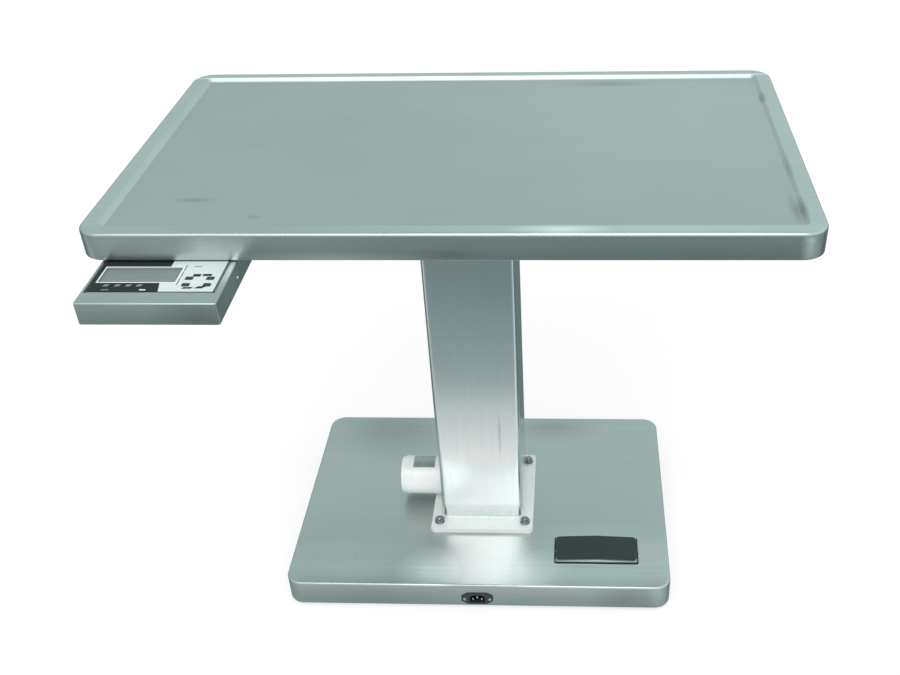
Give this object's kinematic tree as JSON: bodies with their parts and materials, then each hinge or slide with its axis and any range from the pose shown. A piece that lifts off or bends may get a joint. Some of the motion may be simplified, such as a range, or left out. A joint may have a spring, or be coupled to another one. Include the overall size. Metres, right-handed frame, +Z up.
{
  "type": "veterinary exam table",
  "caption": "Stainless weighing table pan on a powered telescopic column, flat base with rocker foot pedal, and a pull-out weight indicator tray under one corner.",
  "frame": {"origin": "on the floor, below the column's axis", "axes": "+X to the user's right along the pan's length, +Y away from the user, +Z up; the user faces +Y at the side with pedal, inlet and tray"},
  "size_m": [0.9, 0.625, 0.705],
  "materials": {
    "stainless_sheet": "satin brushed stainless",
    "stainless_tube": "fine brushed stainless",
    "frame_steel": "grey powder coat",
    "zinc_steel": "zinc plated",
    "ground_steel": "ground and plated",
    "cast_housing": "die cast",
    "motor_enamel": "white enamel",
    "cell_alloy": "machined",
    "bronze": "sintered bronze",
    "black_rubber": "matt",
    "black_plastic": "fine texture",
    "grey_plastic": "fine texture",
    "guide_plastic": "acetal",
    "overlay_film": "satin film",
    "key_plastic": "satin",
    "window_glass": "clear",
    "display_panel": "liquid crystal",
    "board_laminate": "solder mask",
    "contact_brass": "bright",
    "lead_sheath": "PVC"
  },
  "bodies": {
    "base": {"base_cover": "stainless_sheet", "base_side_rails": "frame_steel", "base_cross_rails": "frame_steel", "base_anchor_plate": "frame_steel", "rubber_feet": "black_rubber", "control_box": "grey_plastic", "inlet_housing": "black_plastic", "inlet_blades": "contact_brass", "pedal_bracket": "zinc_steel", "pedal_pin": "ground_steel", "pedal_switches": "black_plastic", "pedal_springs": "zinc_steel", "column_flange": "stainless_sheet", "outer_column": "stainless_tube", "guide_collar": "guide_plastic", "flange_bolts": "zinc_steel", "motor_housing": "motor_enamel", "motor_end_cap": "motor_enamel", "gearbox_housing": "cast_housing", "screw_bearing": "ground_steel", "actuator_tube": "cell_alloy", "tube_bush": "guide_plastic", "base_leads": "lead_sheath"},
    "screw": {"lift_screw": "ground_steel"},
    "lift": {"inner_column": "stainless_tube", "glide_pads": "guide_plastic", "head_plate": "frame_steel", "table_long_rails": "frame_steel", "table_cross_rails": "frame_steel", "load_cells": "cell_alloy", "load_cell_feet": "black_rubber", "table_pan": "stainless_sheet", "pan_stiffeners": "stainless_sheet", "push_rod": "ground_steel", "lift_nut": "bronze", "rod_bracket": "zinc_steel", "runner_frame": "zinc_steel", "runner_channels": "zinc_steel", "junction_box": "grey_plastic", "cell_leads": "lead_sheath"},
    "tray": {"tray_shell": "stainless_sheet", "runner_slides": "guide_plastic", "indicator_case": "black_plastic", "indicator_bezel": "black_plastic", "indicator_overlay": "overlay_film", "display_window": "window_glass", "display_module": "display_panel", "circuit_board": "board_laminate"},
    "pedal": {"pedal_plate": "stainless_sheet", "pedal_pad": "black_rubber"},
    "plunger_left": {"pedal_plunger_left": "key_plastic"},
    "plunger_right": {"pedal_plunger_right": "key_plastic"},
    "key_front_left": {"key_front_left": "key_plastic"},
    "key_front_right": {"key_front_right": "key_plastic"},
    "key_back_left": {"key_back_left": "key_plastic"},
    "key_back_right": {"key_back_right": "key_plastic"}
  },
  "joints": [
    {"name": "lift", "type": "slide", "parent": "base", "child": "lift", "axis": [0, 0, 1], "range_m": [0, 0.35]},
    {"name": "lift_screw_turn", "type": "hinge", "parent": "base", "child": "screw", "pos_m": [0, 0, 0.3], "axis": [0, 0, 1], "range_deg": [-15760, 0]},
    {"name": "indicator_tray", "type": "slide", "parent": "lift", "child": "tray", "axis": [0, 1, 0], "range_m": [0, 0.095]},
    {"name": "pedal_rock", "type": "hinge", "parent": "base", "child": "pedal", "pos_m": [0.188, -0.133, 0.038], "axis": [0, 1, 0], "range_deg": [-4, 4], "stiffness_Nm_per_rad": 20, "deforming": ["pedal_springs"]},
    {"name": "plunger_left_slide", "type": "slide", "parent": "base", "child": "plunger_left", "axis": [0, 0, 1], "range_m": [-0.0025, 0.0025]},
    {"name": "plunger_right_slide", "type": "slide", "parent": "base", "child": "plunger_right", "axis": [0, 0, 1], "range_m": [-0.0025, 0.0025]},
    {"name": "key_front_left_press", "type": "slide", "parent": "tray", "child": "key_front_left", "axis": [0, 0, -1], "range_m": [0, 0.0008], "stiffness_N_per_m": 1500, "springref_m": -0.0004},
    {"name": "key_front_right_press", "type": "slide", "parent": "tray", "child": "key_front_right", "axis": [0, 0, -1], "range_m": [0, 0.0008], "stiffness_N_per_m": 1500, "springref_m": -0.0004},
    {"name": "key_back_left_press", "type": "slide", "parent": "tray", "child": "key_back_left", "axis": [0, 0, -1], "range_m": [0, 0.0008], "stiffness_N_per_m": 1500, "springref_m": -0.0004},
    {"name": "key_back_right_press", "type": "slide", "parent": "tray", "child": "key_back_right", "axis": [0, 0, -1], "range_m": [0, 0.0008], "stiffness_N_per_m": 1500, "springref_m": -0.0004}
  ],
  "couplings": [
    {"joint": "lift_screw_turn", "follows": "lift", "rad_per_m": -785.4},
    {"joint": "plunger_left_slide", "follows": "pedal_rock", "m_per_rad": 0.035},
    {"joint": "plunger_right_slide", "follows": "pedal_rock", "m_per_rad": -0.035}
  ]
}
